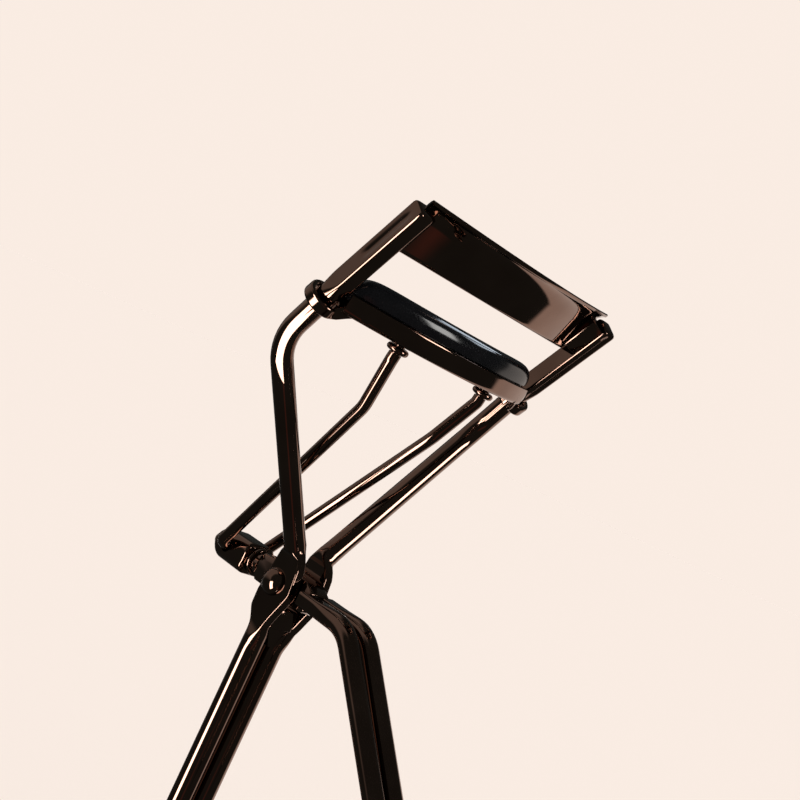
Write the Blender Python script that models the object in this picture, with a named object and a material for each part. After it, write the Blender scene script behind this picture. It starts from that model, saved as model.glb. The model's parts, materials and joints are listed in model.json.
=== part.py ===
"""Eyelash curler: a bent-wire frame, a hinged lever, and a padded jaw that slides up two rails.

Sizes below are in millimetres and are turned into metres as each mesh is made. X is the width, along the
pivot axis, -Y is the side the lever handle is on, and +Z runs up the frame handle to the head. The origin
is in the frame handle's finger loop. "s" is measured up a rail, "n" square to it, forwards and down.
"""

import math

import bmesh
import bpy
from mathutils import Matrix, Vector

MM = 0.001

# Overall layout
PIVOT_Z = 52.0
LOOP_BOTTOM = 65.0
LOOP_LENGTH = 31.5
LOOP_HALF_WIDTH = 11.5
GAP = 0.15

# Frame wire: strand, eye plate at the pivot, side wire, then a rail
WIRE_R = 1.28
STRAND_R = 1.34
STRAND_X, STRAND_Y = 1.58, 0.3
PLATE_X, PLATE_Y = 2.25, -0.55
PLATE_HALF_WIDTH, PLATE_HALF_THICK = 2.85, 0.6
PLATE_LOW, PLATE_HIGH = -5.3, 2.6
PLATE_TAPER = 2.1
RAIL_X = 16.6
BEND_X, BEND = 17.0, (-0.15, 25.97)
RAIL_FOOT = (-3.72, 31.33)
RAIL_LEAN = math.radians(37.4)
RAIL_LENGTH = 15.85
RAIL_HALF_X, RAIL_HALF_N = 1.0, 1.25

# Pivot rivet, lever block and stud
RIVET_R, RIVET_HEAD_R, RIVET_HEAD_HEIGHT = 1.1, 1.68, 1.15
BLOCK_HALF_X, BLOCK_FRONT, BLOCK_REAR = 1.45, 6.0, -5.3
BLOCK_BOTTOM, BLOCK_TOP = -1.6, 1.9
STUD_R, STUD_IN_BLOCK, STUD_IN_CROSSHEAD = 1.15, 2.0, 2.2
WASHER_R, WASHER_THICK = 1.8, 0.55
SPACER_HALF_Y, SPACER_TOP, SPACER_BOTTOM = 1.5, -2.55, -5.1

# Lever wires
LEVER_X, LEVER_LOOP_X, LEVER_R = 1.6, 1.35, 1.18
LEVER_START = (-5.5, 0.1)
LEVER_ELBOW = (-13.1, 0.1)
LEVER_ANGLE = math.radians(47.8)
LEVER_LENGTH = 54.8

# Crosshead and push rods
CROSS_HALF_X, CROSS_FRONT, CROSS_REAR, CROSS_BULGE = 2.3, 7.9, 14.5, 0.65
CROSS_HALF_Z = 2.0
HOOK = (12.0, 0.2)
HOOK_X, HOOK_INSIDE = 3.25, 0.9
ROD_R, PIN_R, ROD_HEAD_R = 0.78, 0.6, 1.0
ROD_BEND_X, ROD_BEND = 5.88, (-4.95, 23.01)
ROD_TOP_X = 7.42
COLLAR_R = 1.35

# Jaws. Both follow one arc in a plane that dips forwards by ARC_DIP
ARC_R, ARC_END_X = 31.0, 14.0
ARC_DIP = math.radians(9.0)
UPPER_EDGE = (-9.27, 39.45)
UPPER_LEAN = math.radians(30.0)
UPPER_HEIGHT_END, UPPER_HEIGHT_MIDDLE = 6.5, 6.0
UPPER_THICK, LIP_OUT = 0.7, 0.75
UPPER_HALF_SPAN = 15.3
TAB_S, TAB_N, TAB_THICK = (10.4, 15.3), (-1.8, 1.0), 0.6
OPEN_GAP = 4.35
LOWER_LEAN = math.radians(12.0)
CHANNEL_HALF_WIDTH, CHANNEL_HEIGHT, CHANNEL_WALL = 1.8, 2.31, 0.5
CHANNEL_HALF_SPAN = 13.6
PAD_TOP, PAD_BASE, PAD_HALF_SPAN, PAD_SHIFT = 4.85, 1.5, 14.5, -0.5
PAD_FOOT_HALF, PAD_HALF = 1.1, 1.55
RING_S, RING_R, RING_THICK, RING_HEIGHT = 0.45, 1.92, 0.64, 1.3

SIDES = {"left": -1, "right": 1}


def clear_scene():
    for item in list(bpy.data.objects):
        bpy.data.objects.remove(item, do_unlink=True)


# ---- geometry helpers -------------------------------------------------------------------------------


def smooth(t):
    t = min(max(t, 0.0), 1.0)
    return t * t * (3 - 2 * t)


def mix(a, b, t):
    return a + (b - a) * t


def lean(angle):
    """The direction that rises at this angle forwards of vertical."""
    return Vector((0, -math.sin(angle), math.cos(angle)))


def rail_point(x, s, n):
    up = lean(RAIL_LEAN)
    forward = Vector((0, -up.z, up.y))
    return Vector((x, *RAIL_FOOT)) + s * up + n * forward


def arc_point(x, base, radial, height, height_angle):
    """A point of a bowed jaw: base is its place at ARC_END_X, radial is outwards from the arc's centre."""
    bow = math.sqrt(ARC_R**2 - x**2) - math.sqrt(ARC_R**2 - ARC_END_X**2)
    forward = Vector((0, -math.cos(ARC_DIP), -math.sin(ARC_DIP)))
    out = Vector((x / ARC_R, 0, 0)) + math.sqrt(1 - (x / ARC_R) ** 2) * forward
    return Vector((x, *base)) + bow * forward + radial * out + height * lean(height_angle)


def lower_base():
    """The middle of the channel's underside at ARC_END_X, OPEN_GAP below the upper jaw along the rails."""
    crest = Vector((0, *UPPER_EDGE)) - OPEN_GAP * lean(RAIL_LEAN)
    foot = crest - PAD_TOP * lean(LOWER_LEAN)
    return foot.y, foot.z


def rounded_path(corners, radii, step=1.8):
    """A polyline whose inner corners are arcs of the given radii, with points about step apart."""
    points = [corners[0].copy()]
    for before, corner, after, radius in zip(corners, corners[1:], corners[2:], radii):
        a, b = (before - corner).normalized(), (after - corner).normalized()
        turn = math.pi - a.angle(b)
        trim = radius * math.tan(turn / 2)
        centre = corner + (a + b).normalized() * (radius / math.cos(turn / 2))
        start, end = corner + a * trim - centre, corner + b * trim - centre
        count = max(2, round(turn / math.radians(14)))
        axis = start.cross(end).normalized()
        points += [centre + Matrix.Rotation(turn * i / count, 3, axis) @ start for i in range(count + 1)]
    points.append(corners[-1].copy())
    dense = [points[0]]
    for a, b in zip(points, points[1:]):
        count = max(1, round((b - a).length / step))
        dense += [a.lerp(b, i / count) for i in range(1, count + 1)]
    return dense


def superellipse(half_u, half_v, power, count):
    """Outline points from a circle (power 2) to a rounded square (power 5 or more)."""
    outline = []
    for i in range(count):
        angle = 2 * math.pi * (i + 0.5) / count
        c, s = math.cos(angle), math.sin(angle)
        u = half_u * math.copysign(abs(c) ** (2 / power), c)
        v = half_v * math.copysign(abs(s) ** (2 / power), s)
        outline.append((u, v))
    return outline


def sweep_rings(path, section, hint=Vector((1, 0, 0))):
    """Rings of points square to a path. section(i, point) gives an outline; its u runs along hint."""
    rings = []
    for i, point in enumerate(path):
        tangent = (path[min(i + 1, len(path) - 1)] - path[max(i - 1, 0)]).normalized()
        u_axis = (hint - hint.dot(tangent) * tangent).normalized()
        v_axis = tangent.cross(u_axis)
        rings.append([point + u * u_axis + v * v_axis for u, v in section(i, point)])
    return rings


def disc_rings(profile, centre, axis, count=24):
    """Rings of a turned shape: profile lists (distance along axis, radius)."""
    axis = axis.normalized()
    side = axis.orthogonal().normalized()
    other = axis.cross(side)
    rings = []
    for along, radius in profile:
        middle = centre + along * axis
        angles = [2 * math.pi * i / count for i in range(count)]
        rings.append([middle + radius * (math.cos(a) * side + math.sin(a) * other) for a in angles])
    return rings


# ---- objects ----------------------------------------------------------------------------------------


def make_material(name, colour, metallic, roughness):
    material = bpy.data.materials.new(name)
    material.use_nodes = True
    shader = material.node_tree.nodes["Principled BSDF"]
    shader.inputs["Base Color"].default_value = (*colour, 1)
    shader.inputs["Metallic"].default_value = metallic
    shader.inputs["Roughness"].default_value = roughness
    return material


def loft(name, rings, material, closed=False):
    """One closed skin through rings of points in millimetres above the pivot, capped at its two ends."""
    lift = Vector((0, 0, PIVOT_Z))
    mesh = bmesh.new()
    rows = [[mesh.verts.new((p + lift) * MM) for p in ring] for ring in rings]
    pairs = list(zip(rows, rows[1:]))
    if closed:
        pairs.append((rows[-1], rows[0]))
    for row, following in pairs:
        for i in range(len(row)):
            j = (i + 1) % len(row)
            mesh.faces.new((row[i], row[j], following[j], following[i]))
    if not closed:
        mesh.faces.new(rows[0])
        mesh.faces.new(rows[-1])
    bmesh.ops.recalc_face_normals(mesh, faces=mesh.faces)
    data = bpy.data.meshes.new(name)
    mesh.to_mesh(data)
    mesh.free()
    data.materials.append(material)
    data.shade_smooth()
    data.set_sharp_from_angle(angle=math.radians(35))
    item = bpy.data.objects.new(name, data)
    bpy.context.scene.collection.objects.link(item)
    return item


def prism(name, outline, low, high, material):
    """An outline of (y, z) points extruded along X."""
    rings = [[Vector((x, y, z)) for y, z in outline] for x in (low, high)]
    return loft(name, rings, material)


def as_tool(item):
    item.hide_render = True
    item.display_type = "WIRE"
    return item


def combine(item, operation, *tools):
    for tool in tools:
        modifier = item.modifiers.new(tool.name, "BOOLEAN")
        modifier.operation = operation
        modifier.solver = "EXACT"
        modifier.object = as_tool(tool)
    return item


def bevel(item, width, segments=2):
    modifier = item.modifiers.new("edges", "BEVEL")
    modifier.width = width * MM
    modifier.segments = segments
    modifier.limit_method = "ANGLE"
    modifier.angle_limit = math.radians(40)
    return item


def make_axis(name, x, y, z):
    """An empty on a joint's axis, which carries the pieces that move about it."""
    empty = bpy.data.objects.new(name, None)
    empty.location = Vector((x, y, z + PIVOT_Z)) * MM
    bpy.context.scene.collection.objects.link(empty)
    return empty


def carry(empty, *pieces):
    for piece in pieces:
        piece.data.transform(Matrix.Translation(-empty.location))
        piece.parent = empty


# ---- frame ------------------------------------------------------------------------------------------


def loop_corners(start, down, side, x, swing):
    """Half of a finger loop: the wire leaves its strand, swings out to one side and ends below at X = 0."""
    length, half = LOOP_LENGTH, LOOP_HALF_WIDTH
    stations = ((0, 0, x), (half, half, 0.75 * x), (length, half, 0.3 * x), (length, 0, 0))
    corners = [start + along * down + across * swing * side + Vector((at_x, 0, 0))
               for along, across, at_x in stations]
    corners[-1] += GAP * swing * side
    return corners


LOOP_RADII = (6.0, 9.0, 11.3)


def frame_wire(name, side, material):
    x = side * STRAND_X
    down, across = Vector((0, 0, -1)), Vector((0, 1, 0))
    start = Vector((0, STRAND_Y, LOOP_LENGTH - LOOP_BOTTOM))
    loop = loop_corners(start, down, across, x, side)
    loop.reverse()
    upper = [
        Vector((x, STRAND_Y, PLATE_LOW - PLATE_TAPER - 0.4)),
        Vector((side * PLATE_X, PLATE_Y, PLATE_LOW)),
        Vector((side * PLATE_X, PLATE_Y, PLATE_HIGH + 0.9)),
        Vector((side * BEND_X, *BEND)),
        rail_point(side * RAIL_X, 0, 0),
        rail_point(side * RAIL_X, RAIL_LENGTH, 0),
    ]
    radii = [*reversed(LOOP_RADII), 2.0, 2.0, 2.5, 6.5, 12.0]
    path = rounded_path(loop + upper, radii)

    def section(i, point):
        rail = smooth((point - rail_point(point.x, 1.0, 0)).dot(lean(RAIL_LEAN)) / 2.0)
        below = smooth((point.z - PLATE_LOW + PLATE_TAPER) / PLATE_TAPER)
        above = smooth((PLATE_HIGH + PLATE_TAPER - point.z) / PLATE_TAPER)
        plate = below * above
        radius = mix(STRAND_R, WIRE_R, smooth((point.z - PLATE_LOW) / 5))
        half_u = mix(mix(radius, PLATE_HALF_THICK, plate), RAIL_HALF_X, rail)
        half_v = mix(mix(radius, PLATE_HALF_WIDTH, plate), RAIL_HALF_N, rail)
        return superellipse(half_u, half_v, mix(2 + 2.5 * plate, 5.0, rail), 14)

    wire = loft(name, sweep_rings(path, section), material)
    hole = loft(name + "_hole", disc_rings([(-1, RIVET_R + GAP), (1, RIVET_R + GAP)],
                                           Vector((side * PLATE_X, 0, 0)), Vector((1, 0, 0))), material)
    return combine(wire, "DIFFERENCE", hole)


def pivot_rivet(material):
    seat = PLATE_X + PLATE_HALF_THICK + GAP
    dome = [(seat + RIVET_HEAD_HEIGHT * math.sin(a), RIVET_HEAD_R * math.cos(a))
            for a in (0.0, 0.35, 0.7, 1.05, 1.35)]
    half = [(seat, RIVET_R), *dome]
    profile = [(-along, radius) for along, radius in reversed(half)] + half
    return loft("pivot_rivet", disc_rings(profile, Vector((0, 0, 0)), Vector((1, 0, 0))), material)


def spacer_block(material):
    half_x = PLATE_X - PLATE_HALF_THICK - GAP
    y, low, high = SPACER_HALF_Y, SPACER_BOTTOM, SPACER_TOP
    outline = [(-y, low), (y, low), (y, high), (-y, high)]
    return bevel(prism("spacer_block", outline, -half_x, half_x, material), 0.2)


def upper_jaw(material):
    count = 36
    rings = []
    for i in range(count + 1):
        x = mix(-UPPER_HALF_SPAN, UPPER_HALF_SPAN, i / count)
        height = mix(UPPER_HEIGHT_MIDDLE, UPPER_HEIGHT_END, (x / UPPER_HALF_SPAN) ** 2)
        half = UPPER_THICK / 2
        outline = [
            (-half, 0.25), (-0.6 * half, 0), (0.6 * half, 0), (half, 0.25), (half, height - 1.3),
            (half + 0.25 * LIP_OUT, height - 0.6), (half + LIP_OUT, height - 0.1),
            (half + 0.8 * LIP_OUT, height + 0.25),
            (half + 0.2 * LIP_OUT, height), (-0.7 * half, height - 0.6), (-half, height - 1.3),
        ]
        rings.append([arc_point(x, UPPER_EDGE, r, h, UPPER_LEAN) for r, h in outline])
    jaw = loft("upper_jaw", rings, material)
    tabs = []
    for side_name, side in SIDES.items():
        outer = side * (RAIL_X - RAIL_HALF_X - GAP)
        corners = [(TAB_S[0], TAB_N[1]), (TAB_S[1], TAB_N[1]), (TAB_S[1], TAB_N[0]), (TAB_S[0], TAB_N[0])]
        faces = [[rail_point(x, s, n) for s, n in corners] for x in (outer, outer - side * TAB_THICK)]
        tabs.append(loft("upper_jaw_tab_" + side_name, faces, material))
    return combine(jaw, "UNION", *tabs)


# ---- sliding jaw ------------------------------------------------------------------------------------


def lower_jaw(material):
    half, wall, top = CHANNEL_HALF_WIDTH, CHANNEL_WALL, CHANNEL_HEIGHT
    outline = [
        (-half, 0.3), (-half + 0.3, 0), (half - 0.3, 0), (half, 0.3), (half, top),
        (half - wall, top), (half - wall, wall), (-half + wall, wall), (-half + wall, top), (-half, top),
    ]
    base, count = lower_base(), 32
    stations = [mix(-CHANNEL_HALF_SPAN, CHANNEL_HALF_SPAN, i / count) for i in range(count + 1)]
    rings = [[arc_point(x, base, r, h, LOWER_LEAN) for r, h in outline] for x in stations]
    jaw = loft("lower_jaw", rings, material)
    for side_name, side in SIDES.items():
        turn = [2 * math.pi * i / 28 for i in range(28)]
        ring_path = [rail_point(side * RAIL_X + RING_R * math.cos(a), RING_S, RING_R * math.sin(a))
                     for a in turn]
        across = [rail_point(0, 1, 0) - rail_point(0, 0, 0)]
        eyelet_rings = []
        for a, point in zip(turn, ring_path):
            out = (point - rail_point(side * RAIL_X, RING_S, 0)).normalized()
            eyelet_rings.append([point + u * out + v * across[0]
                                 for u, v in superellipse(RING_THICK / 2, RING_HEIGHT / 2, 3.0, 12)])
        eyelet = loft("eyelet_" + side_name, eyelet_rings, material, closed=True)
        inner = side * (CHANNEL_HALF_SPAN - 0.6)
        arm_path = [
            arc_point(inner, base, half - wall / 2, 1.0, LOWER_LEAN),
            arc_point(inner + side * 0.7, base, half - wall / 2, 1.0, LOWER_LEAN),
            rail_point(side * (RAIL_X - 0.9), RING_S, RING_R - 0.1),
        ]
        arm_rings = sweep_rings(rounded_path(arm_path, [1.2], 0.5),
                                lambda i, p: superellipse(0.62, 0.35, 4.0, 12), lean(LOWER_LEAN))
        arm = loft("arm_" + side_name, arm_rings, material)
        combine(jaw, "UNION", arm, eyelet)
        top_pin = arc_point(side * ROD_TOP_X, base, 0, 0, LOWER_LEAN)
        hole = disc_rings([(-1, PIN_R + 0.4), (wall + 0.6, PIN_R + 0.4)], top_pin, lean(LOWER_LEAN), 16)
        combine(jaw, "DIFFERENCE", loft("rod_hole_" + side_name, hole, material))
    return jaw


def lash_pad(material):
    base, count = lower_base(), 30
    rings = []
    for i in range(count + 1):
        t = 2 * i / count - 1
        x = PAD_SHIFT + PAD_HALF_SPAN * math.sin(t * math.pi / 2)
        end = math.sqrt(max(0.0, 1 - abs(t) ** 6))
        shrink = mix(0.55, 1.0, end)
        rise = CHANNEL_HEIGHT + 0.2
        top = mix(rise + 0.9, PAD_TOP, end)
        foot, half = PAD_FOOT_HALF * shrink, PAD_HALF * shrink
        outline = [(foot, PAD_BASE), (foot, rise), (half, rise)]
        crown = [math.pi * k / 10 for k in range(0, 11)]
        low = mix(rise, top, 0.35)
        outline += [(half * math.cos(a), low + (top - low) * math.sin(a)) for a in crown]
        outline += [(-half, rise), (-foot, rise), (-foot, PAD_BASE)]
        rings.append([arc_point(x, base, r, h, LOWER_LEAN) for r, h in outline])
    return loft("lash_pad", rings, material)


# ---- push rods --------------------------------------------------------------------------------------


def push_rod(name, side, material):
    base = lower_base()
    up = lean(LOWER_LEAN)
    top = arc_point(side * ROD_TOP_X, base, 0, 0, LOWER_LEAN)
    corners = [
        Vector((side * HOOK_INSIDE, *HOOK)),
        Vector((side * HOOK_X, *HOOK)),
        Vector((side * ROD_BEND_X, *ROD_BEND)),
        top - 1.9 * up,
        top - 1.1 * up,
    ]
    path = rounded_path(corners, [1.15, 5.0, 0.9])
    rings = sweep_rings(path, lambda i, p: superellipse(ROD_R, ROD_R, 2, 12), Vector((0, 1, 1)))
    head = ((-1.1, PIN_R), (0.8, PIN_R), (0.8, ROD_HEAD_R), (1.05, ROD_HEAD_R), (1.25, 0.7 * ROD_HEAD_R))
    for height, radius in head:
        rings += sweep_rings([top + height * up, top + (height + 0.01) * up],
                             lambda i, p, r=radius: superellipse(r, r, 2, 12), Vector((0, 1, 1)))[:1]
    return loft(name, rings, material)


def rod_collar(name, side, material):
    top = arc_point(side * ROD_TOP_X, lower_base(), 0, 0, LOWER_LEAN)
    low, high, inner = -0.9, -0.2, PIN_R + GAP
    profile = [(low, inner), (low, COLLAR_R - 0.2), (low + 0.2, COLLAR_R), (high - 0.2, COLLAR_R),
               (high, COLLAR_R - 0.2), (high, inner)]
    return loft_ring(name, profile, top, lean(LOWER_LEAN), material)


def loft_ring(name, profile, centre, axis, material, count=20):
    """A ring turned from a closed profile of (distance along axis, radius) points."""
    circles = disc_rings(profile, centre, axis, count)
    sections = [[circle[k] for circle in circles] for k in range(count)]
    return loft(name, sections, material, closed=True)


# ---- lever ------------------------------------------------------------------------------------------


def lever_block(material):
    y0, y1, z0, z1 = BLOCK_REAR, BLOCK_FRONT, BLOCK_BOTTOM, BLOCK_TOP
    outline = [(y0, z0 + 0.4), (y0 + 0.6, z0), (y1 - 0.7, z0), (y1, z0 + 0.7), (y1, z1 - 0.7), (y1 - 0.7, z1),
               (y0 + 1.7, z1), (y0, z1 - 0.8)]
    block = bevel(prism("lever_block", outline, -BLOCK_HALF_X, BLOCK_HALF_X, material), 0.15)
    across = disc_rings([(-3, RIVET_R + GAP), (3, RIVET_R + GAP)], Vector((0, 0, 0)), Vector((1, 0, 0)))
    depth = STUD_IN_BLOCK + GAP
    along = disc_rings([(-depth, STUD_R + GAP), (3, STUD_R + GAP)], Vector((0, BLOCK_FRONT, 0)),
                       Vector((0, 1, 0)))
    return combine(block, "DIFFERENCE", loft("block_pivot_hole", across, material),
                   loft("block_stud_hole", along, material))


def lever_wire(name, side, material):
    x = side * LEVER_X
    down = Vector((0, -math.sin(LEVER_ANGLE), -math.cos(LEVER_ANGLE)))
    across = Vector((0, -down.z, down.y))
    elbow = Vector((0, *LEVER_ELBOW))
    loop_start = elbow + (LEVER_LENGTH - LOOP_LENGTH) * down
    loop = loop_corners(loop_start, down, across, side * LEVER_LOOP_X, side)
    corners = [Vector((x, *LEVER_START)), elbow + Vector((x, 0, 0)), *loop]
    path = rounded_path(corners, [5.5, *LOOP_RADII])

    def section(i, point):
        flat = 1 - smooth((LEVER_START[0] - point.y) / 5)
        return superellipse(mix(LEVER_R, 1.2, flat), mix(LEVER_R, 0.85, flat), mix(2.0, 4.0, flat), 12)

    return loft(name, sweep_rings(path, section), material)


def crosshead(material):
    front, rear, half = CROSS_FRONT, CROSS_REAR, CROSS_HALF_Z
    back = [(rear + CROSS_BULGE * math.sin(a), -half * math.cos(a)) for a in (0.35, 0.8, 1.3, 1.8, 2.35, 2.8)]
    outline = [(front, -half), (rear, -half), *back, (rear - 0.6, half), (front, half)]
    body = bevel(prism("crosshead", outline, -CROSS_HALF_X, CROSS_HALF_X, material), 0.25)
    hooks = disc_rings([(-4, ROD_R + 0.25), (4, ROD_R + 0.25)], Vector((0, *HOOK)), Vector((1, 0, 0)), 20)
    depth = STUD_IN_CROSSHEAD + GAP
    stud = disc_rings([(-3, STUD_R + GAP), (depth, STUD_R + GAP)], Vector((0, front, 0)), Vector((0, 1, 0)))
    return combine(body, "DIFFERENCE", loft("hook_hole", hooks, material),
                   loft("crosshead_stud_hole", stud, material))


def swivel_stud(material):
    low, high = BLOCK_FRONT - STUD_IN_BLOCK, CROSS_FRONT + STUD_IN_CROSSHEAD
    profile = [(low, 0.8 * STUD_R), (low + 0.25, STUD_R), (high - 0.25, STUD_R), (high, 0.8 * STUD_R)]
    return loft("swivel_stud", disc_rings(profile, Vector((0, 0, 0)), Vector((0, 1, 0))), material)


def stud_washer(material):
    low = CROSS_FRONT - GAP - WASHER_THICK
    inner, high = STUD_R + GAP, low + WASHER_THICK
    profile = [(low, inner), (low, WASHER_R - 0.15), (low + 0.15, WASHER_R), (high - 0.15, WASHER_R),
               (high, WASHER_R - 0.15), (high, inner)]
    return loft_ring("stud_washer", profile, Vector((0, 0, 0)), Vector((0, 1, 0)), material)


def main():
    clear_scene()
    steel = make_material("dark_steel", (0.055, 0.045, 0.042), 1.0, 0.12)
    rubber = make_material("black_rubber", (0.012, 0.012, 0.014), 0.0, 0.3)

    for side_name, side in SIDES.items():
        frame_wire("frame_wire_" + side_name, side, steel)
    pivot_rivet(steel)
    spacer_block(steel)
    upper_jaw(steel)

    jaw_axis = make_axis("jaw_axis", 0, *RAIL_FOOT)
    carry(jaw_axis, lower_jaw(steel), lash_pad(rubber))

    lever_axis = make_axis("lever_axis", 0, 0, 0)
    lever_pieces = [lever_wire("lever_wire_" + side_name, side, steel) for side_name, side in SIDES.items()]
    lever_pieces += [lever_block(steel), crosshead(steel), swivel_stud(steel), stud_washer(steel)]
    carry(lever_axis, *lever_pieces)

    rod_axis = make_axis("rod_axis", 0, *HOOK)
    for side_name, side in SIDES.items():
        carry(rod_axis, push_rod("push_rod_" + side_name, side, steel),
              rod_collar("rod_collar_" + side_name, side, steel))


main()
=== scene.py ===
"""Looks for the eyelash curler: gunmetal mirror plating on bent wire, and a gloss black silicone pad.

Sizes are in millimetres from the pivot, as in the CAD, and become metres in the part's frame as each mesh is
made. X is the width along the pivot axis, -Y is the side of the lever handle, and +Z runs up to the head.
On a rail "s" is measured up it, and "n" square to it, forwards and down. On a jaw "r" is measured out of the
bowed line that it follows, and "h" up its own lean.
"""

import json
import math

import bmesh
import bpy
from mathutils import Matrix, Vector


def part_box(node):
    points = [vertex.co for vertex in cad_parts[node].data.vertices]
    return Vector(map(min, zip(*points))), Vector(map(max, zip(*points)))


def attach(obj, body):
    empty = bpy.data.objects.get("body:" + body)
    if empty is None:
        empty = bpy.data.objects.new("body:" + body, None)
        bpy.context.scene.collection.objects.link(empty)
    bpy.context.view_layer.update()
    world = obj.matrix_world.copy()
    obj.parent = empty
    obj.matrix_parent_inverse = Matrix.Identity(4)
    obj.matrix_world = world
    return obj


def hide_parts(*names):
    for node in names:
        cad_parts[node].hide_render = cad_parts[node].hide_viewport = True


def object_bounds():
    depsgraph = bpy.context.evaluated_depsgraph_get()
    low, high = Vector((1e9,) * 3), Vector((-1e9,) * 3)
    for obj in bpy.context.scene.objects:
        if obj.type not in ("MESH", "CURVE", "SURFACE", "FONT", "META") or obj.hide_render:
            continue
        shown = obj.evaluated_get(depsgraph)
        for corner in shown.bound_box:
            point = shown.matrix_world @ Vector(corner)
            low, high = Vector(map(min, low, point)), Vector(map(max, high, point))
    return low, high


MM = 0.001
X_AXIS, Y_AXIS, Z_AXIS = Vector((1, 0, 0)), Vector((0, 1, 0)), Vector((0, 0, 1))
SIDES = (-1, 1)


def make_camera():
    """Almost level, just under the head, and rolled to the left."""
    azimuth, elevation, roll = math.radians(-41.86), math.radians(-0.52), math.radians(24.97)
    place = Vector((-93.38, -107.68, 76.20)) * MM
    data = bpy.data.cameras.new("camera")
    data.lens, data.sensor_width = 54.0, 36.0
    data.clip_start = 0.01
    camera = bpy.data.objects.new("camera", data)
    bpy.context.scene.collection.objects.link(camera)
    turn = Matrix.Rotation(azimuth, 4, "Z") @ Matrix.Rotation(math.pi / 2 - elevation, 4, "X")
    camera.matrix_world = Matrix.Translation(place) @ turn @ Matrix.Rotation(roll, 4, "Z")
    bpy.context.scene.camera = camera
    return camera


camera = make_camera()
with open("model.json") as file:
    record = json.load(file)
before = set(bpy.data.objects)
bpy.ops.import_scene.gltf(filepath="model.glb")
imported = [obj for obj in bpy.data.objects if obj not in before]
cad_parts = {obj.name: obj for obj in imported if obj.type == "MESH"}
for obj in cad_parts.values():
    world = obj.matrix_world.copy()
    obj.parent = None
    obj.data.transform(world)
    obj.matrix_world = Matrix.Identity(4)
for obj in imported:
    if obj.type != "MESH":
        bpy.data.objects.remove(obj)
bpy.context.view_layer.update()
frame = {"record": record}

JOINTS = {joint["name"]: joint for joint in frame["record"]["behaviour"]["joints"]}
PIVOT = Vector(JOINTS["lever_hinge"]["pos_m"]) / MM
HOOK = (Vector(JOINTS["rod_hinge"]["pos_m"]) / MM - PIVOT).yz
RAIL_UP = Vector(JOINTS["jaw_slide"]["axis"])

# Frame wire: the rails, the side wires, the eye plates and the strands down to the finger loop
WIRE_R, STRAND_R = 1.28, 1.34
STRAND_X, STRAND_Y = 1.58, 0.3
PLATE_X, PLATE_Y, PLATE_HALF_THICK, PLATE_EDGE_R = 2.25, -0.55, 0.6, 0.16
PLATE_HIGH, NECK_HIGH, NECK_LOW = 3.4, -4.6, -7.4
PRESS_LOW, PRESS_LOW_RUN, PRESS_HIGH, PRESS_HIGH_RUN = -7.2, 2.4, 5.0, 1.5
SIDE_WIRE_FOOT, SIDE_WIRE_TAPER = PLATE_HIGH + 0.9, 4
RAIL_HALF_X, RAIL_HALF_N, RAIL_LENGTH = 1.0, 1.25, 15.85
RAIL_EDGE_R, RAIL_END_R = 0.30, 0.45
RAIL_X, RAIL_FOOT = 16.6, (-3.72, 31.33)
BEND_X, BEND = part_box("frame_wire_right")[1][0] / MM - WIRE_R - 0.01, (-0.15, 25.97)
FRAME_RADII = (12.0, 6.5, 2.5, 5.0, 5.0)
LOOP_BOTTOM, LOOP_LENGTH, LOOP_HALF_WIDTH = 65.0, 31.5, 11.5
LOOP_RADII = (6.0, 9.0, 11.3)

# The eye plate's front and back edges, as (z, y) from its lower neck to its upper one
PLATE_FRONT = (
    (-7.0, -1.02), (-5.1, -1.25), (-2.6, -2.5), (-0.5, -3.45), (2.7, -3.05), (4.0, -2.3), (5.2, -1.4),
)
PLATE_BACK = (
    (-7.0, 1.62), (-5.8, 1.55), (-4.9, 1.75), (-3.7, 2.15), (-1.8, 2.25), (3.6, 1.35), (5.2, 1.15),
)

# Where a rail starts to turn square and how far that takes, then its grooves as depth, start and end
SQUARE_START, SQUARE_RUN = 1.0, 2.8
OUTER_GROOVE, FRONT_GROOVE = (0.12, 7.2, 14.6), (0.14, 2.4, 15.3)
GROOVE_RUN_IN, GROOVE_RUN_OUT = 0.8, 0.5

# Pivot
RIVET_R, RIVET_HEAD_R, RIVET_HEAD_HEIGHT, RIVET_TIP_R = 1.1, 1.68, 1.15, 0.05
SPACER_HALF_Y, SPACER_TOP, SPACER_BOTTOM = 1.5, -2.55, -5.1
TONGUE_TOP_HALF, TONGUE_FOOT_HALF, TONGUE_OVERLAP, TONGUE_DROP = 1.5, 0.35, 0.3, 2.3
TONGUE_REACH = (-1.0, 1.2)

# Lever
LEVER_X, LEVER_LOOP_X, LEVER_R, LEVER_ELBOW_R = 1.6, 1.35, 1.18, 5.5
LEVER_START, LEVER_ELBOW = (-4.9, 0.1), (-13.1, 0.1)
LEVER_ANGLE, LEVER_LENGTH = math.radians(47.8), 54.7
LEVER_FLAT_HALF_X, LEVER_FLAT_HALF_Z, LEVER_FLAT_EDGE_R = 1.2, 0.9, 0.4
LEVER_FLAT_END, LEVER_ROUND_RUN = -7.0, 5.0
BLOCK_HALF_X, BLOCK_FRONT, BLOCK_REAR, BLOCK_BOTTOM, BLOCK_TOP = 1.45, 6.0, -5.3, -1.6, 1.9
CROSS_HALF_X, CROSS_FRONT, CROSS_REAR, CROSS_HALF_Z = 2.3, 7.9, 14.5, 2.0
STUD_R, STUD_NECK_R, WASHER_R, WASHER_THICK, WASHER_EDGE_R = 1.15, 1.4, 1.8, 0.55, 0.22

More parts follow.
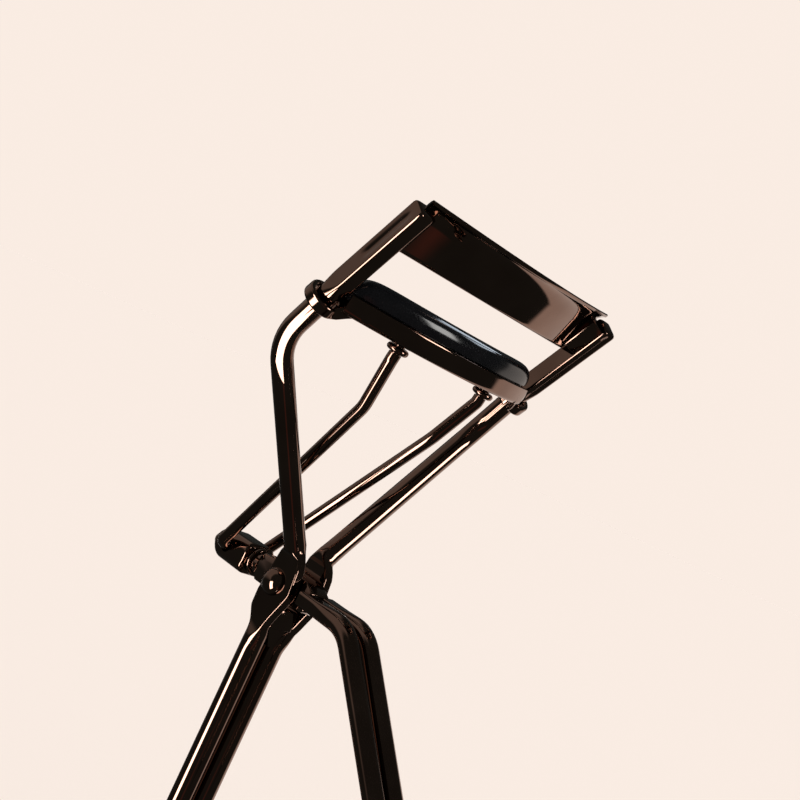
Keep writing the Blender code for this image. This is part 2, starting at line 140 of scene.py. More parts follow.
# Push rods: the head on the pin is a row of (height over the jaw's floor line, radius)
HOOK_X, HOOK_INSIDE = 3.25, 0.9
ROD_R, PIN_R, COLLAR_R = 0.78, 0.6, 1.35
ROD_HEAD = ((-1.1, PIN_R), (0.8, PIN_R), (0.8, 1.0), (1.05, 1.0), (1.2, 0.85), (1.25, 0.6))
ROD_BEND_X, ROD_BEND, ROD_TOP_X = 5.88, (-4.95, 23.01), 7.42
ROD_RADII = (1.15, 5.0, 0.9)
COLLAR_LOW, COLLAR_HIGH, COLLAR_EDGE_R = -0.95, -0.2, 0.36

# Jaws: both follow one bow, an arc of ARC_R whose chord ends at ARC_END_X
ARC_R, ARC_END_X, ARC_DIP = 31.0, 14.0, math.radians(9.0)
UPPER_EDGE, UPPER_LEAN = (-9.27, 39.45), math.radians(30.0)
UPPER_HEIGHT_END, UPPER_HEIGHT_MIDDLE, UPPER_THICK = 6.5, 6.0, 0.7
UPPER_HALF_SPAN, UPPER_EDGE_R = 15.3, 0.3
LIP_OUT, LIP_START, LIP_STEPS = 1.05, 2.1, 8
TAB_LOW, TAB_HIGH, TAB_REAR, TAB_WIDTH, TAB_BITE = 10.4, 15.3, -1.6, 1.4, 0.1
TAB_OUTER_FRONT, TAB_INNER_FRONT, TAB_SLANT = 0.95, -0.15, 0.3
LOWER_LEAN, OPEN_GAP = math.radians(12.0), 4.35
CHANNEL_HALF_WIDTH, CHANNEL_HEIGHT, CHANNEL_WALL = 1.8, 2.31, 0.5
CHANNEL_CORNER_R, CHANNEL_ENDS = 0.5, (-14.8, 13.6)
HEEL_X = (-14.0, -14.5, -15.0, -15.5, -15.9)
RING_S, RING_R, BAND_HALF_THICK, BAND_HALF_HEIGHT = 0.45, 1.92, 0.31, 0.72
BAND_START, BAND_MIDDLE, BAND_START_HALF, BAND_EDGE_R = (12.2, 13.4), 1.18, (0.253, 1.14), 0.26
BAND_TURN_FIRST, BAND_TURN_POINTS, BAND_TURN_R = 4, 11, 1.2
PAD_TOP, PAD_BASE, PAD_HALF_SPAN, PAD_SHIFT = 4.85, 1.5, 14.5, -0.5
PAD_FOOT_HALF, PAD_HALF, PAD_OVER_RIM = 1.1, 1.55, 0.12
PAD_END_POWER, PAD_SIDE_POWER, PAD_CROWN_POWER, PAD_SPRING = 14, 0.8, 0.9, 0.22

# How fine the meshes are
JAW_STATIONS, PAD_STATIONS, DISC_SIDES, ARC_STEP = 96, 120, 48, 6.0
SHARP_ANGLE = math.radians(38)


# ---- geometry helpers -------------------------------------------------------------------------------


def mix(a, b, t):
    return a + (b - a) * t


def smooth(t):
    """From 0 to 1 with a soft start and end."""
    t = min(max(t, 0.0), 1.0)
    return t * t * (3 - 2 * t)


def turns(first, step, count):
    """A row of angles, given in degrees."""
    return [math.radians(first + step * k) for k in range(count)]


def between(value, points):
    """Straight-line interpolation in a short list of (place, value) points."""
    for (a, low), (b, high) in zip(points, points[1:]):
        if value <= b:
            return mix(low, high, max(0.0, (value - a) / (b - a)))
    return points[-1][1]


def lean(angle):
    """The upward direction of a jaw that leans forwards."""
    return Vector((0, -math.sin(angle), math.cos(angle)))


def rail_point(x, s, n):
    """A point s up a rail and n in front of its centre line."""
    forward = Vector((0, -RAIL_UP.z, RAIL_UP.y))
    return Vector((x, *RAIL_FOOT)) + s * RAIL_UP + n * forward


def rail_place(point):
    """How far up its rail a point is."""
    return (point - rail_point(point.x, 0, 0)).dot(RAIL_UP)


def arc_point(x, base, radial, height, height_angle):
    """A point on a jaw: base is where its line ends, radial is out of the bow, height is up its lean."""
    bow = math.sqrt(ARC_R**2 - x**2) - math.sqrt(ARC_R**2 - ARC_END_X**2)
    forward = Vector((0, -math.cos(ARC_DIP), -math.sin(ARC_DIP)))
    out = Vector((x / ARC_R, 0, 0)) + math.sqrt(1 - (x / ARC_R) ** 2) * forward
    return Vector((x, *base)) + bow * forward + radial * out + height * lean(height_angle)


def lower_base():
    """Where the sliding jaw's line ends, for a pad that stands the open gap below the upper jaw."""
    foot = Vector((0, *UPPER_EDGE)) - OPEN_GAP * RAIL_UP - PAD_TOP * lean(LOWER_LEAN)
    return foot.y, foot.z


BASE = lower_base()


def rounded_path(corners, radii, step):
    """A polyline whose inner corners are arcs of the given radii, with points at most step apart."""
    points = [corners[0].copy()]
    for before, corner, after, radius in zip(corners, corners[1:], corners[2:], radii):
        a, b = (before - corner).normalized(), (after - corner).normalized()
        turn = math.pi - a.angle(b)
        trim = radius * math.tan(turn / 2)
        centre = corner + (a + b).normalized() * (radius / math.cos(turn / 2))
        start, end = corner + a * trim - centre, corner + b * trim - centre
        count = max(3, round(math.degrees(turn) / ARC_STEP))
        axis = start.cross(end).normalized()
        points += [centre + Matrix.Rotation(turn * i / count, 3, axis) @ start for i in range(count + 1)]
    points.append(corners[-1].copy())
    dense = [points[0]]
    for a, b in zip(points, points[1:]):
        count = max(1, math.ceil((b - a).length / step))
        dense += [a.lerp(b, i / count) for i in range(1, count + 1)]
    return dense


def circle(radius, count=24):
    angles = [2 * math.pi * (i + 0.5) / count for i in range(count)]
    return [(radius * math.cos(a), radius * math.sin(a)) for a in angles]


# Places along a box's face, and how much of its groove's depth each one has
FACE_STEPS = ((0.07, 0), (0.28, 0), (0.36, 0.8), (0.5, 1), (0.64, 0.8), (0.72, 0), (0.93, 0))


def rounded_box(half_u, half_v, radius, grooves=(0, 0, 0, 0)):
    """A box outline with round corners. grooves gives a depth for each face: +v, -u, -v, +u.

    A short straight stretch stays on every face, so that round and square outlines have the same points.
    """
    radius = min(radius, 0.965 * min(half_u, half_v))
    arc_steps = 5
    outline = []
    for corner in range(4):
        middle = math.pi / 4 + corner * math.pi / 2
        cu = math.copysign(half_u - radius, math.cos(middle))
        cv = math.copysign(half_v - radius, math.sin(middle))
        for i in range(arc_steps + 1):
            angle = corner * math.pi / 2 + i * math.pi / 2 / arc_steps
            outline.append((cu + radius * math.cos(angle), cv + radius * math.sin(angle)))
        following = middle + math.pi / 2
        nu = math.copysign(half_u - radius, math.cos(following))
        nv = math.copysign(half_v - radius, math.sin(following))
        facing = (corner + 1) * math.pi / 2
        out_u, out_v = math.cos(facing), math.sin(facing)
        start = (cu + radius * out_u, cv + radius * out_v)
        end = (nu + radius * out_u, nv + radius * out_v)
        depth = grooves[corner]
        for t, sunk in FACE_STEPS:
            u, v = mix(start[0], end[0], t), mix(start[1], end[1], t)
            outline.append((u - depth * sunk * out_u, v - depth * sunk * out_v))
    return outline


def sweep_rings(path, section, hint=X_AXIS):
    """Outlines set square to a path. Their u axis is as near to hint as that allows."""
    rings = []
    for i, point in enumerate(path):
        tangent = (path[min(i + 1, len(path) - 1)] - path[max(i - 1, 0)]).normalized()
        u_axis = (hint - hint.dot(tangent) * tangent).normalized()
        v_axis = tangent.cross(u_axis)
        rings.append([point + u * u_axis + v * v_axis for u, v in section(i, point)])
    return rings


def disc_rings(profile, centre, axis, count=DISC_SIDES):
    """Circles round an axis, one for each (place along it, radius) of the profile."""
    axis = axis.normalized()
    side = axis.orthogonal().normalized()
    other = axis.cross(side)
    angles = [2 * math.pi * i / count for i in range(count)]
    return [[centre + along * axis + radius * (math.cos(a) * side + math.sin(a) * other) for a in angles]
            for along, radius in profile]


def shade(data):
    data.shade_smooth()
    data.set_sharp_from_angle(angle=SHARP_ANGLE)


def loft(name, rings, material, closed=False):
    """A solid through a row of outlines. A closed one runs back into its first outline."""
    mesh = bmesh.new()
    rows = [[mesh.verts.new((point + PIVOT) * MM) for point in ring] for ring in rings]
    pairs = list(zip(rows, rows[1:])) + ([(rows[-1], rows[0])] if closed else [])
    for row, following in pairs:
        for i in range(len(row)):
            j = (i + 1) % len(row)
            mesh.faces.new((row[i], row[j], following[j], following[i]))
    if not closed:
        mesh.faces.new(rows[0])
        mesh.faces.new(rows[-1])
    bmesh.ops.recalc_face_normals(mesh, faces=mesh.faces)
    data = bpy.data.meshes.new(name)
    mesh.to_mesh(data)
    mesh.free()
    data.materials.append(material)
    shade(data)
    item = bpy.data.objects.new(name, data)
    bpy.context.scene.collection.objects.link(item)
    return item


def ring_loft(name, profile, centre, axis, material):
    """A turned ring with a hole through it."""
    circles = disc_rings(profile, centre, axis)
    return loft(name, [[ring[k] for ring in circles] for k in range(DISC_SIDES)], material, closed=True)


def prism(name, outline, low, high, material):
    """A (y, z) outline drawn out along X."""
    return loft(name, [[Vector((x, y, z)) for y, z in outline] for x in (low, high)], material)


def settle(item):
    """Turns an object's modifiers into plain mesh."""
    graph = bpy.context.evaluated_depsgraph_get()
    data = bpy.data.meshes.new_from_object(item.evaluated_get(graph))
    item.modifiers.clear()
    item.data = data
    shade(data)


def combine(item, operation, *tools):
    """Joins solids to a piece or cuts them out of it, and takes them away."""
    for tool in tools:
        modifier = item.modifiers.new(tool.name, "BOOLEAN")
        modifier.operation, modifier.solver, modifier.object = operation, "EXACT", tool
    settle(item)
    for tool in tools:
        bpy.data.objects.remove(tool, do_unlink=True)
    return item


def bevel(item, width):
    modifier = item.modifiers.new("edges", "BEVEL")
    modifier.width, modifier.segments = width * MM, 3
    modifier.limit_method, modifier.angle_limit = "ANGLE", math.radians(40)
    settle(item)
    return item


def show(item, body, slot, *nodes):
    """Puts a finished piece on its body in place of the CAD nodes that it stands for."""
    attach(item, body)
    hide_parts(*nodes)
    return item


# ---- materials --------------------------------------------------------------------------------------


class Nodes:
    """Short calls for building the node tree of a material or a world."""

    def __init__(self, owner):
        owner.use_nodes = True
        self.owner, self.tree = owner, owner.node_tree

    def add(self, kind, inputs=None, **settings):
        node = self.tree.nodes.new(kind)
        for key, value in settings.items():
            setattr(node, key, value)
        for key, value in (inputs or {}).items():
            self.put(node.inputs[key], value)
        return node

    def put(self, socket, value):
        if isinstance(value, bpy.types.NodeSocket):
            self.tree.links.new(value, socket)
        else:
            socket.default_value = value

    def place(self, scale=(1, 1, 1)):
        where = self.add("ShaderNodeTexCoord").outputs["Object"]
        return self.add("ShaderNodeMapping", {"Vector": where, "Scale": scale}).outputs["Vector"]

    def noise(self, scale, detail, stretch=(1, 1, 1), roughness=0.5):
        inputs = {"Vector": self.place(stretch), "Scale": scale, "Detail": detail, "Roughness": roughness}
        return self.add("ShaderNodeTexNoise", inputs).outputs["Fac"]

    def span(self, value, low, high, to_low, to_high, **settings):
        inputs = {"Value": value, "From Min": low, "From Max": high, "To Min": to_low, "To Max": to_high}
        return self.add("ShaderNodeMapRange", inputs, **settings).outputs["Result"]

    def blend_colour(self, factor, first, second):
        node = self.add("ShaderNodeMix", {0: factor}, data_type="RGBA")
        for socket, colour in ((node.inputs[6], first), (node.inputs[7], second)):
            self.put(socket, colour if isinstance(colour, bpy.types.NodeSocket) else (*colour, 1))
        return node.outputs[2]

    def math(self, operation, *values):
        return self.add("ShaderNodeMath", dict(enumerate(values)), operation=operation).outputs[0]

    def bump(self, height, strength, distance, **under):
        inputs = {"Height": height, "Strength": strength, "Distance": distance, **under}
        return self.add("ShaderNodeBump", inputs).outputs["Normal"]

    def shade(self, **values):
        shader = self.tree.nodes["Principled BSDF"]
        for key, value in values.items():
            self.put(shader.inputs[key.replace("_", " ").title().replace("Ior", "IOR")], value)


def dark_plating():
    """Gunmetal mirror plating: warm near-black, with faint cloudiness, fine polish lines and thin haze."""
    nodes = Nodes(bpy.data.materials.new("dark_plating"))
    cloud = nodes.span(nodes.noise(180, 4), 0.3, 0.7, 0, 1)
    haze = nodes.noise(900, 5, roughness=0.65)
    polish = nodes.noise(2200, 2, stretch=(1, 1, 0.06))
    hazy, lined = nodes.span(haze, 0.35, 0.75, 0.035, 0.075), nodes.span(polish, 0.45, 0.8, 0.0, 0.03)
    lines = nodes.bump(polish, 0.01, 0.000003)
    nodes.shade(
        base_color=nodes.blend_colour(cloud, (0.165, 0.098, 0.074), (0.215, 0.132, 0.100)),
        metallic=1.0,
        roughness=nodes.math("ADD", hazy, lined),
        normal=nodes.bump(haze, 0.01, 0.000006, Normal=lines),
        coat_weight=0.04,
        coat_roughness=0.03,
    )
    return nodes.owner


def black_silicone():
    """Gloss black silicone with a soft moulded skin and a few specks of dust."""
    nodes = Nodes(bpy.data.materials.new("black_silicone"))
    skin = nodes.noise(1400, 4)
    cloud = nodes.noise(260, 3)
    cells = nodes.add("ShaderNodeTexVoronoi", {"Vector": nodes.place(), "Scale": 620.0, "Randomness": 1.0})
    speck = nodes.span(cells.outputs["Distance"], 0.05, 0.075, 1, 0)
    chosen = nodes.span(cells.outputs["Color"], 0.80, 0.82, 0, 1)
    dust = nodes.math("MULTIPLY", speck, chosen)
    deep, pale = (0.0030, 0.0030, 0.0038), (0.0055, 0.0055, 0.0065)
    black = nodes.blend_colour(nodes.span(cloud, 0.3, 0.7, 0, 1), deep, pale)
    gloss = nodes.span(cloud, 0.3, 0.7, 0.10, 0.15)
    nodes.shade(
        base_color=nodes.blend_colour(dust, black, (0.30, 0.31, 0.33)),
        metallic=0.0,
        roughness=nodes.math("ADD", gloss, nodes.math("MULTIPLY", dust, 0.4)),
        normal=nodes.bump(skin, 0.03, 0.00001),
        specular_ior_level=0.35,
    )
    return nodes.owner


# ---- frame ------------------------------------------------------------------------------------------


def loop_corners(start, down, across, x, side):
    """Half a finger loop: from the end of a strand out to one side and round to the foot of the loop."""
    stations = (
        (0, 0, x),
        (LOOP_HALF_WIDTH, LOOP_HALF_WIDTH, 0.75 * x),
        (LOOP_LENGTH, LOOP_HALF_WIDTH, 0.3 * x),
        (LOOP_LENGTH, 0, 0),
    )
    return [start + along * down + out * side * across + at_x * X_AXIS for along, out, at_x in stations]


def two_halves(half):
    """One wire from a half path, given for each side and ending at the foot of the loop."""
    left, right = half(-1), half(1)
    return left + right[::-1][1:]


def groove(up_rail, depth, start, end):
    """How deep a groove is at this height on its rail."""
    return depth * smooth((up_rail - start) / GROOVE_RUN_IN) * smooth((end - up_rail) / GROOVE_RUN_OUT)


def rail_section(side, up_rail):
    """Round at the eyelet, then square with shallow grooves, and rounded off at the top end."""
    square = smooth((up_rail - SQUARE_START) / SQUARE_RUN)
    near_end = max(0.0, up_rail - RAIL_LENGTH + RAIL_END_R)
    trim = RAIL_END_R - math.sqrt(max(0.0, RAIL_END_R**2 - near_end**2))
    half_x, half_n = mix(WIRE_R, RAIL_HALF_X, square) - trim, mix(WIRE_R, RAIL_HALF_N, square) - trim
    outer, front = groove(up_rail, *OUTER_GROOVE), groove(up_rail, *FRONT_GROOVE)
    faces = (0, outer, 0, 0) if side < 0 else (0, 0, front, outer)
    return rounded_box(half_x, half_n, mix(WIRE_R, RAIL_EDGE_R, square), faces)


def plate_section(side, point):
    """A round wire pressed into the flat eye plate, which reaches from its front edge to its back edge."""
    flat = smooth((point.z - PRESS_LOW) / PRESS_LOW_RUN) * smooth((PRESS_HIGH - point.z) / PRESS_HIGH_RUN)
    front, back = between(point.z, PLATE_FRONT) - point.y, between(point.z, PLATE_BACK) - point.y
    half_u, half_v = mix(STRAND_R, PLATE_HALF_THICK, flat), mix(STRAND_R, (back - front) / 2, flat)
    shift = mix(0, (back + front) / 2, flat) * side
    box = rounded_box(half_u, half_v, mix(STRAND_R, PLATE_EDGE_R, flat))
    return [(u, v + shift) for u, v in box]


def frame_wire(material):
    def half(side):
        x = side * STRAND_X
        start = Vector((0, STRAND_Y, LOOP_LENGTH - LOOP_BOTTOM))
        corners = [
            rail_point(side * RAIL_X, RAIL_LENGTH, 0),
            rail_point(side * RAIL_X, 0, 0),
            Vector((side * BEND_X, *BEND)),
            Vector((side * PLATE_X, PLATE_Y, SIDE_WIRE_FOOT)),
            Vector((side * PLATE_X, PLATE_Y, NECK_HIGH)),
            Vector((x, STRAND_Y, NECK_LOW)),
            *loop_corners(start, -Z_AXIS, Y_AXIS, x, side),
        ]
        path = rounded_path(corners, [*FRAME_RADII, *LOOP_RADII], 0.5)
        end_turns = [math.radians(a) for a in (90, 65, 45, 25)]
        end = [rail_point(side * RAIL_X, RAIL_LENGTH - RAIL_END_R * (1 - math.sin(a)), 0) for a in end_turns]
        return end + path[1:]

    def section(i, point):
        side = math.copysign(1, point.x)
        up_rail = rail_place(point)
        if up_rail > 0:
            return rail_section(side, up_rail)
        if NECK_LOW < point.z < PLATE_FRONT[-1][0]:
            return plate_section(side, point)
        radius = mix(STRAND_R, WIRE_R, smooth((point.z - PLATE_HIGH) / SIDE_WIRE_TAPER))
        return rounded_box(radius, radius, radius)

    return loft("frame_wire", sweep_rings(two_halves(half), section), material)


def pivot_rivet(material):
    seat = PLATE_X + PLATE_HALF_THICK
    dome = [(seat + RIVET_HEAD_HEIGHT * math.sin(a), RIVET_HEAD_R * math.cos(a)) for a in turns(0, 9, 9)]
    tip = (seat + RIVET_HEAD_HEIGHT * math.sin(math.radians(81)), RIVET_TIP_R)
    half = [(seat, RIVET_R), (seat, RIVET_HEAD_R - 0.05), *dome, tip]
    profile = [(-along, radius) for along, radius in reversed(half)] + half
    return loft("rivet", disc_rings(profile, Vector(), X_AXIS), material)


def spacer(material):
    """A block between the eye plates, with a tongue that narrows between the strands below it."""
    half_x, y = PLATE_X - PLATE_HALF_THICK, SPACER_HALF_Y
    low, high = SPACER_BOTTOM, SPACER_TOP
    outline = [(-y, low), (y, low), (y, high), (-y, high)]
    block = bevel(prism("spacer", outline, -half_x, half_x, material), 0.2)
    wide, narrow, top, foot = TONGUE_TOP_HALF, TONGUE_FOOT_HALF, low + TONGUE_OVERLAP, low - TONGUE_DROP
    tongue = [(-wide, top), (wide, top), (narrow, foot), (-narrow, foot)]
    wedge = loft("tongue", [[Vector((x, y, z)) for x, z in tongue] for y in TONGUE_REACH], material)
    return combine(block, "UNION", wedge)


def upper_jaw_outline(height):
    """A thin plate with a rounded lower edge, whose top rolls forwards into a lip."""
    half = UPPER_THICK / 2
    foot = [(half * math.cos(a), UPPER_EDGE_R + UPPER_EDGE_R * math.sin(a)) for a in turns(-180, 22.5, 9)]
    front, back = [], []
    for k in range(LIP_STEPS + 1):
        t = k / LIP_STEPS
        out, rise = LIP_OUT * (1 - math.cos(t * 1.5)), height - LIP_START + 2.0 * math.sin(t * 1.3)
        front.append((half + out, rise))
        back.append((-half + 0.85 * out, rise + 0.25 * t))
    rim = [(half + LIP_OUT * 0.97, height + 0.12), (half + LIP_OUT * 0.8, height + 0.28)]
    low, high = 0.5, height - LIP_START - 0.1
    return [*foot, (half, low), (half, high), *front, *rim, *back[::-1], (-half, high), (-half, low)]


def upper_jaw_tab(side, material):
    """A wedge on the inside of a rail: its front face slants back towards the middle of the jaw."""
    outer = side * (RAIL_X - RAIL_HALF_X + TAB_BITE)
    faces = []
    for x, front in ((outer, TAB_OUTER_FRONT), (outer - side * TAB_WIDTH, TAB_INNER_FRONT)):
        corners = [(TAB_LOW + TAB_SLANT, front), (TAB_HIGH, front), (TAB_HIGH, TAB_REAR), (TAB_LOW, TAB_REAR)]
        faces.append([rail_point(x, s, n) for s, n in corners])
    return bevel(loft("tab", faces, material), 0.18)


def upper_jaw(material):
    rings = []
    for i in range(JAW_STATIONS + 1):
        x = mix(-UPPER_HALF_SPAN, UPPER_HALF_SPAN, i / JAW_STATIONS)
        outline = upper_jaw_outline(mix(UPPER_HEIGHT_MIDDLE, UPPER_HEIGHT_END, (x / UPPER_HALF_SPAN) ** 2))
        rings.append([arc_point(x, UPPER_EDGE, r, h, UPPER_LEAN) for r, h in outline])
    jaw = loft("upper_jaw_plate", rings, material)
    for side in SIDES:
        combine(jaw, "UNION", upper_jaw_tab(side, material))
    return jaw


# ---- sliding jaw ------------------------------------------------------------------------------------


def channel_outline():
    """A U with rounded lower corners and round rims."""
    half, wall, top = CHANNEL_HALF_WIDTH, CHANNEL_WALL, CHANNEL_HEIGHT

    def arc(radius, height, angles):
        return [(half - radius + radius * math.cos(a), height + radius * math.sin(a)) for a in angles]

    one_side = [
        (half - CHANNEL_CORNER_R - 0.1, 0),
        *arc(CHANNEL_CORNER_R, CHANNEL_CORNER_R, turns(-90, 15, 7)),
        (half, CHANNEL_CORNER_R + 0.1),
        (half, top - wall / 2 - 0.1),
        *arc(wall / 2, top - wall / 2, turns(0, 22.5, 9)),
        (half - wall, top - 0.4),
        (half - wall, wall + 0.2),
        (half - wall - 0.2, wall),
    ]
    return one_side + [(-r, h) for r, h in reversed(one_side)]


def eyelet(side, material):
    """A flat band that bends out of the channel's front wall and goes round its rail."""
    wall_middle = CHANNEL_HALF_WIDTH - CHANNEL_WALL / 2
    start = [arc_point(side * x, BASE, wall_middle, BAND_MIDDLE, LOWER_LEAN) for x in BAND_START]
    loop = [rail_point(side * (RAIL_X - RING_R * math.cos(a)), RING_S, RING_R * math.sin(a))
            for a in turns(62, 12, 29)]
    path = rounded_path([*start, loop[0]], [BAND_TURN_R], 0.3) + loop[1:]
    start_thick, start_height = BAND_START_HALF
    rings = []
    for i, point in enumerate(path):
        bent = smooth((i - BAND_TURN_FIRST) / BAND_TURN_POINTS)
        tangent = (path[min(i + 1, len(path) - 1)] - path[max(i - 1, 0)]).normalized()
        rise = lean(LOWER_LEAN).lerp(RAIL_UP, bent).normalized()
        rise = (rise - rise.dot(tangent) * tangent).normalized()
        out = tangent.cross(rise)
        half_u, half_v = mix(start_thick, BAND_HALF_THICK, bent), mix(start_height, BAND_HALF_HEIGHT, bent)
        rings.append([point + u * out + v * rise for u, v in rounded_box(half_u, half_v, BAND_EDGE_R)])
    return loft("eyelet", rings, material)


def lower_jaw(material):
    half, wall, top = CHANNEL_HALF_WIDTH, CHANNEL_WALL, CHANNEL_HEIGHT

    def along_bow(name, outline, places):
        rings = [[arc_point(x, BASE, r, h, LOWER_LEAN) for r, h in outline] for x in places]
        return loft(name, rings, material)

    stations = [mix(*CHANNEL_ENDS, i / JAW_STATIONS) for i in range(JAW_STATIONS + 1)]
    jaw = along_bow("channel", channel_outline(), stations)
    heel = [(-half, 0.05), (-half + wall, 0.05), (-half + wall, top - 0.02), (-half, top - 0.02)]
    combine(jaw, "UNION", along_bow("heel", heel, HEEL_X))
    for side in SIDES:
        combine(jaw, "UNION", eyelet(side, material))
        foot = arc_point(side * ROD_TOP_X, BASE, 0, 0, LOWER_LEAN)
        hole = disc_rings([(-1, PIN_R + 0.4), (wall + 0.6, PIN_R + 0.4)], foot, lean(LOWER_LEAN), 32)
        combine(jaw, "DIFFERENCE", loft("rod_hole", hole, material))
    return jaw


def lash_pad(material):
    """A crowned bar of silicone: a foot in the channel, a skirt over the rims, and ends that round off."""
    rings = []
    rise = CHANNEL_HEIGHT + PAD_OVER_RIM
    for i in range(PAD_STATIONS + 1):
        t = math.sin((2 * i / PAD_STATIONS - 1) * math.pi / 2)
        full = math.sqrt(max(0.0, 1 - abs(t) ** PAD_END_POWER))
        half, foot = PAD_HALF * mix(0.45, 1.0, full), PAD_FOOT_HALF * mix(0.5, 1.0, full)
        top = mix(rise + 0.5, PAD_TOP, full)
        spring = mix(rise, top, PAD_SPRING)
        crown = []
        for a in turns(0, 5, 37):
            out = math.copysign(abs(math.cos(a)) ** PAD_SIDE_POWER, math.cos(a))
            crown.append((half * out, spring + (top - spring) * math.sin(a) ** PAD_CROWN_POWER))
        lower = [(foot, PAD_BASE), (foot, rise), (half * 0.9, rise), (half * 0.97, rise + 0.05)]
        outline = [*lower, *crown, *((-r, h) for r, h in reversed(lower))]
        x = PAD_SHIFT + PAD_HALF_SPAN * t
        rings.append([arc_point(x, BASE, r, h, LOWER_LEAN) for r, h in outline])
    return loft("pad", rings, material)


# ---- push rods --------------------------------------------------------------------------------------


def push_rod(name, side, material):
    """From its hook in the crosshead up to a pin through the sliding jaw's floor, with a head on the pin."""
    up = lean(LOWER_LEAN)
    top = arc_point(side * ROD_TOP_X, BASE, 0, 0, LOWER_LEAN)
    corners = [
        Vector((side * HOOK_INSIDE, *HOOK)),
        Vector((side * HOOK_X, *HOOK)),
        Vector((side * ROD_BEND_X, *ROD_BEND)),
        top - 1.9 * up,
        top - 1.1 * up,
    ]
    hint = Y_AXIS + Z_AXIS
    rings = sweep_rings(rounded_path(corners, ROD_RADII, 0.8), lambda i, point: circle(ROD_R), hint)
    for height, radius in ROD_HEAD:
        short = [top + height * up, top + (height + 0.01) * up]
        rings += sweep_rings(short, lambda i, point, r=radius: circle(r), hint)[:1]
    return loft(name, rings, material)


def rod_collar(name, side, material):
    top = arc_point(side * ROD_TOP_X, BASE, 0, 0, LOWER_LEAN)
    low, high, inner = COLLAR_LOW, COLLAR_HIGH, PIN_R + 0.15
    bulge = []
    for a in turns(-90, 15, 13):
        height = mix(low, high, 0.5) + 0.5 * (high - low) * math.sin(a)
        bulge.append((height, COLLAR_R - COLLAR_EDGE_R + COLLAR_EDGE_R * math.cos(a)))
    return ring_loft(name, [(low, inner), *bulge, (high, inner)], top, lean(LOWER_LEAN), material)


# ---- lever ------------------------------------------------------------------------------------------


def lever_wire(material):
    down = Vector((0, -math.sin(LEVER_ANGLE), -math.cos(LEVER_ANGLE)))
    across = Vector((0, -down.z, down.y))
    elbow = Vector((0, *LEVER_ELBOW))
    loop_start = elbow + (LEVER_LENGTH - LOOP_LENGTH) * down

    def half(side):
        x = side * LEVER_X
        loop = loop_corners(loop_start, down, across, side * LEVER_LOOP_X, side)
        corners = [Vector((x, *LEVER_START)), elbow + x * X_AXIS, *loop]
        return rounded_path(corners, [LEVER_ELBOW_R, *LOOP_RADII], 0.8)

    def section(i, point):
        """Pressed flat where it enters the block, and round from the elbow on."""
        flat = 1 - smooth((LEVER_FLAT_END - point.y) / LEVER_ROUND_RUN)
        half_u, half_v = mix(LEVER_R, LEVER_FLAT_HALF_X, flat), mix(LEVER_R, LEVER_FLAT_HALF_Z, flat)
        return rounded_box(half_u, half_v, mix(LEVER_R, LEVER_FLAT_EDGE_R, flat))

    return loft("lever_wire", sweep_rings(two_halves(half), section), material)


def lever_block(material):
    rear, front, low, high = BLOCK_REAR, BLOCK_FRONT, BLOCK_BOTTOM, BLOCK_TOP
    nose = 0.7
    outline = [
        (rear, low + 0.4),
        (rear + 0.6, low),
        (front - nose, low),
        (front, low + nose),
        (front, high - nose),
        (front - nose, high),
        (rear + 1.7, high),
        (rear, high - 0.8),
    ]
    block = bevel(prism("block", outline, -BLOCK_HALF_X, BLOCK_HALF_X, material), 0.16)
    bore = disc_rings([(-3, RIVET_R + 0.15), (3, RIVET_R + 0.15)], Vector(), X_AXIS)
    return combine(block, "DIFFERENCE", loft("block_bore", bore, material))


def crosshead(material):
    """A rounded box that ends in half a barrel round the push rods' hooks."""
    barrel_y, barrel_r, nose = CROSS_REAR - 1.35, 2.0, ((0, 0.8), (0.08, 0.9), (0.25, 0.98), (0.5, 1.0))
    stations = [(CROSS_FRONT + y, shrink) for y, shrink in nose]
    stations += [(barrel_y + barrel_r * math.sin(a), math.cos(a)) for a in turns(0, 6, 14)]

    def section(i, point):
        shrink = stations[i][1]
        half_z = CROSS_HALF_Z * shrink
        return rounded_box(CROSS_HALF_X - 0.35 * (1 - shrink), half_z, min(1.1, 0.95 * half_z))

    path = [Vector((0, y, 0)) for y, _ in stations]
    body = loft("crosshead_body", sweep_rings(path, section), material)
    hooks = disc_rings([(-4, ROD_R + 0.25), (4, ROD_R + 0.25)], Vector((0, *HOOK)), X_AXIS)
    return combine(body, "DIFFERENCE", loft("hook_hole", hooks, material))


def swivel_stud(material):
    low, high = BLOCK_FRONT - 0.3, CROSS_FRONT + 0.3
    profile = [(low, STUD_R), (low + 0.35, STUD_R), (low + 0.45, STUD_NECK_R), (high, STUD_NECK_R)]
    return loft("stud", disc_rings(profile, Vector(), Y_AXIS), material)


def stud_washer(material):
    low = CROSS_FRONT - 0.15 - WASHER_THICK
    half, inner = WASHER_THICK / 2, STUD_NECK_R + 0.02
    edge = [(low + half + half * math.sin(a), WASHER_R - WASHER_EDGE_R + WASHER_EDGE_R * math.cos(a))
            for a in turns(-90, 18, 11)]
    profile = [(low, inner), *edge, (low + WASHER_THICK, inner)]
    return ring_loft("washer", profile, Vector(), Y_AXIS, material)


# ---- studio -----------------------------------------------------------------------------------------

BACKDROP, ROOM, FLOOR_LIGHT = (0.953, 0.840, 0.765), (0.034, 0.038, 0.036), (1, 1, 1)

